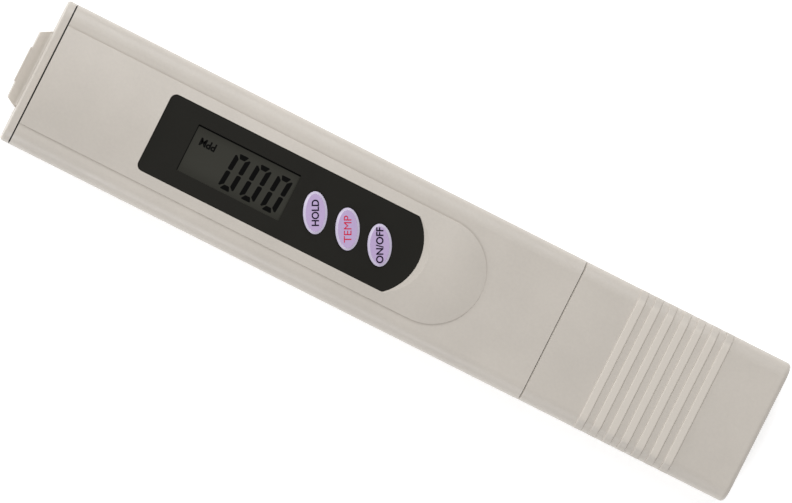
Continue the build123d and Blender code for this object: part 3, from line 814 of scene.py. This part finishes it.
MOULDED_INSIDE = {  # colour, roughness, nodes
    "black_plastic": ((0.018, 0.018, 0.019), 0.38, ("switch_bases", "controller_chip")),
    "pale_plastic": ((0.62, 0.61, 0.57), 0.45, ("lcd_frame", "battery_tray", "trimmer_rotor")),
    "trimmer_blue": ((0.02, 0.09, 0.36), 0.4, ("trimmer_body",)),
    "holder_plastic": ((0.50, 0.47, 0.42), 0.45, ("probe_holder",)),
    "chip_body": ((0.2, 0.15, 0.1), 0.5, ("small_components",)),
}
ALONG_X = (60.0, 6000.0, 6000.0)  # lines of drawn metal, features per metre on each axis
ROUND_Z = (4000.0, 4000.0, 120.0)
METAL_INSIDE = {  # colour, roughness, lines, nodes
    "turned_steel": (
        (0.62, 0.62, 0.61),
        0.28,
        ROUND_Z,
        ("button_cell_a", "button_cell_b", "board_screws"),
    ),
    "drawn_steel": ((0.6, 0.6, 0.58), 0.25, ALONG_X, ("temperature_probe", "crystal_can")),
    "titanium": ((0.5, 0.48, 0.45), 0.32, ALONG_X, ("electrode_pins",)),
    "nickel_strip": (
        (0.64, 0.6, 0.52),
        0.3,
        ALONG_X,
        ("contact_positive", "contact_negative", "cell_link_strap", "probe_straps"),
    ),
}


def make_inside():
    """Finishes of the parts inside: board, cells, contacts and probe."""
    finish_nodes(board_material(), "main_board")
    for name, (shade, rough, nodes) in MOULDED_INSIDE.items():
        finish_nodes(moulded(name, shade, rough), *nodes)
    for name, (shade, rough, lines, nodes) in METAL_INSIDE.items():
        finish_nodes(brushed(name, shade, rough, lines), *nodes)


def make_port_ticks(settings):
    """Ticks printed round the calibration port, as on a dial."""
    ink = ink_material("port_ink", settings.ink)
    port = middle_of("trimmer_body")
    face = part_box("rear_shell")[0].z
    tick = prism(
        [rectangle(-0.35 * MM, 0.35 * MM, -0.07 * MM, 0.07 * MM)],
        face - 0.015 * MM,
        face + PRINT_T,
    )
    ticks = repeated(
        tick,
        "ring",
        {
            "Count": settings.tick_count,
            "Radius": PORT_RING_R,
            "Start": math.pi - PORT_RING_SWEEP / 2,
            "Sweep": PORT_RING_SWEEP,
            "Material": ink,
        },
        Vector((port.x, port.y, 0)),
    )
    new_piece("port_ticks", ticks, None, "housing")


# ---- stage -----------------------------------------------------------------------------------
def resting_line():
    """The level and slope of the floor under the pen, from what it rests on."""
    cap = [v.co for v in NODES["protective_cap"].data.vertices]
    end_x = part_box("protective_cap")[1].x
    low = min(v.z for v in cap if v.x > end_x - 2 * MM)
    heel = max((v for v in cap if v.z < low + 0.01 * MM), key=lambda v: v.x)
    clip = [v.co for v in NODES["pocket_clip"].data.vertices]
    slope = max((heel.z - v.z) / (heel.x - v.x) for v in clip)
    return heel, slope


def make_floor(settings):
    """A wide floor that touches the clip and the edge of the protective cap."""
    heel, slope = resting_line()
    reach = FLOOR_REACH
    lift = heel.z - 0.03 * MM
    corners = [(-reach, -reach), (reach, -reach), (reach, reach), (-reach, reach)]
    mesh = bpy.data.meshes.new("floor")
    mesh.from_pydata(
        [(x, y, lift + slope * (x - heel.x)) for x, y in corners], [], [(0, 1, 2, 3)]
    )
    floor = bpy.data.objects.new("floor", mesh)
    bpy.context.scene.collection.objects.link(floor)
    mesh.materials.append(floor_material(settings.floor, settings.floor_glow))


def make_light(name, spot, aim, size, power, tint):
    """A square soft light at a spot, aimed at a point."""
    data = bpy.data.lights.new(name, "AREA")
    data.size = size
    data.energy = power
    data.color = tint
    lamp = bpy.data.objects.new(name, data)
    bpy.context.scene.collection.objects.link(lamp)
    lamp.location = spot
    lamp.rotation_euler = (Vector(aim) - Vector(spot)).to_track_quat("-Z", "Y").to_euler()


def make_camera(settings, middle_z):
    """The camera above the pen, leaning to its battery end and turned."""
    lean, roll = settings.lean, settings.roll
    back = Vector((-math.sin(lean), 0, math.cos(lean)))
    along = Vector((math.cos(lean), 0, math.sin(lean)))
    across = Vector((0, 1, 0))
    right = math.cos(roll) * along + math.sin(roll) * across
    up = -math.sin(roll) * along + math.cos(roll) * across
    aim = Vector((settings.aim_x, settings.aim_y, middle_z))
    data = bpy.data.cameras.new("camera")
    data.lens = settings.lens
    data.clip_end = 20.0
    camera = bpy.data.objects.new("camera", data)
    bpy.context.scene.collection.objects.link(camera)
    turn = Matrix((right, up, back)).transposed().to_4x4()
    camera.matrix_world = Matrix.Translation(aim + back * settings.distance) @ turn
    bpy.context.scene.camera = camera


TARGET = (0, 0, 0.01)
COOL = (0.93, 0.95, 1.0)
WHITE = (1.0, 1.0, 1.0)
LIGHTS = {  # spot, aim, size, setting that holds its power, tint; metres
    "key_light": ((-0.1, 0.27, 0.62), TARGET, 0.4, "key_power", WHITE),
    "end_light": ((-0.6, 0.0, 0.09), (-0.05, 0, 0.01), 0.3, "end_power", WHITE),
    "top_light": ((0.05, -0.05, 0.9), (0, 0, 0), 0.9, "top_power", WHITE),
    "left_light": ((-0.05, 0.52, 0.36), TARGET, 0.3, "side_power", COOL),
    "right_light": ((-0.05, -0.52, 0.36), TARGET, 0.3, "side_power", COOL),
}


def make_stage(settings):
    """Floor, soft lights, surround and camera."""
    make_floor(settings)
    for name, (spot, aim, size, power, tint) in LIGHTS.items():
        make_light(name, spot, aim, size, getattr(settings, power), tint)
    world = bpy.data.worlds.new("surround")
    world.use_nodes = True
    sky = world.node_tree.nodes["Background"]
    sky.inputs["Color"].default_value = (1.0, 1.0, 1.0, 1.0)
    sky.inputs["Strength"].default_value = settings.fill
    bpy.context.scene.world = world
    bpy.context.scene.view_settings.view_transform = "Standard"
    make_camera(settings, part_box("front_shell")[1].z)


# ---- operators -----------------------------------------------------------------------------
class TESTER_OT_casing(bpy.types.Operator):
    """Finish the shells, caps, clip and seals"""

    bl_idname = "tester.casing"
    bl_label = "Casing"

    def execute(self, context):
        make_casing(context.scene.tester_casing)
        return {"FINISHED"}


class TESTER_OT_back(bpy.types.Operator):
    """Print the rules on the back label and the ticks round the port"""

    bl_idname = "tester.back"
    bl_label = "Back Label"

    def execute(self, context):
        make_label_rules(context.scene.tester_casing)
        make_port_ticks(context.scene.tester_casing)
        return {"FINISHED"}


class TESTER_OT_display(bpy.types.Operator):
    """Make the panel, the display and its digits"""

    bl_idname = "tester.display"
    bl_label = "Display"

    def execute(self, context):
        make_display(context.scene.tester_display)
        return {"FINISHED"}


class TESTER_OT_keys(bpy.types.Operator):
    """Finish the oval keys and print their legends"""

    bl_idname = "tester.keys"
    bl_label = "Keys"

    def execute(self, context):
        make_keys(context.scene.tester_keys)
        return {"FINISHED"}


class TESTER_OT_inside(bpy.types.Operator):
    """Finish the board, cells, contacts and probe"""

    bl_idname = "tester.inside"
    bl_label = "Inside Parts"

    def execute(self, context):
        make_inside()
        return {"FINISHED"}


class TESTER_OT_stage(bpy.types.Operator):
    """Set up the floor, lights and camera"""

    bl_idname = "tester.stage"
    bl_label = "Stage"

    def execute(self, context):
        make_stage(context.scene.tester_stage)
        return {"FINISHED"}


OPERATORS = (
    TESTER_OT_casing,
    TESTER_OT_back,
    TESTER_OT_display,
    TESTER_OT_keys,
    TESTER_OT_inside,
    TESTER_OT_stage,
)


class TESTER_PT_panel(bpy.types.Panel):
    """Sizes, colours and steps of the pen water tester"""

    bl_idname = "TESTER_PT_panel"
    bl_label = "Pen Water Tester"
    bl_space_type = "VIEW_3D"
    bl_region_type = "UI"
    bl_category = "Tester"

    def draw(self, context):
        for name in SETTINGS:
            settings = getattr(context.scene, name)
            box = self.layout.box()
            for key in settings.bl_rna.properties.keys():
                if key not in {"rna_type", "name"}:
                    box.prop(settings, key)
        for operator in OPERATORS:
            self.layout.operator(operator.bl_idname)


CLASSES = (*SETTINGS.values(), *OPERATORS, TESTER_PT_panel)


def register():
    for cls in CLASSES:
        bpy.utils.register_class(cls)
    for name, cls in SETTINGS.items():
        setattr(bpy.types.Scene, name, PointerProperty(type=cls))


def unregister():
    for name in SETTINGS:
        delattr(bpy.types.Scene, name)
    for cls in reversed(CLASSES):
        bpy.utils.unregister_class(cls)


def main():
    """Builds everything in order."""
    register()
    bpy.ops.tester.casing()
    bpy.ops.tester.back()
    bpy.ops.tester.display()
    bpy.ops.tester.keys()
    bpy.ops.tester.inside()
    bpy.ops.tester.stage()


if __name__ == "__main__":
    main()
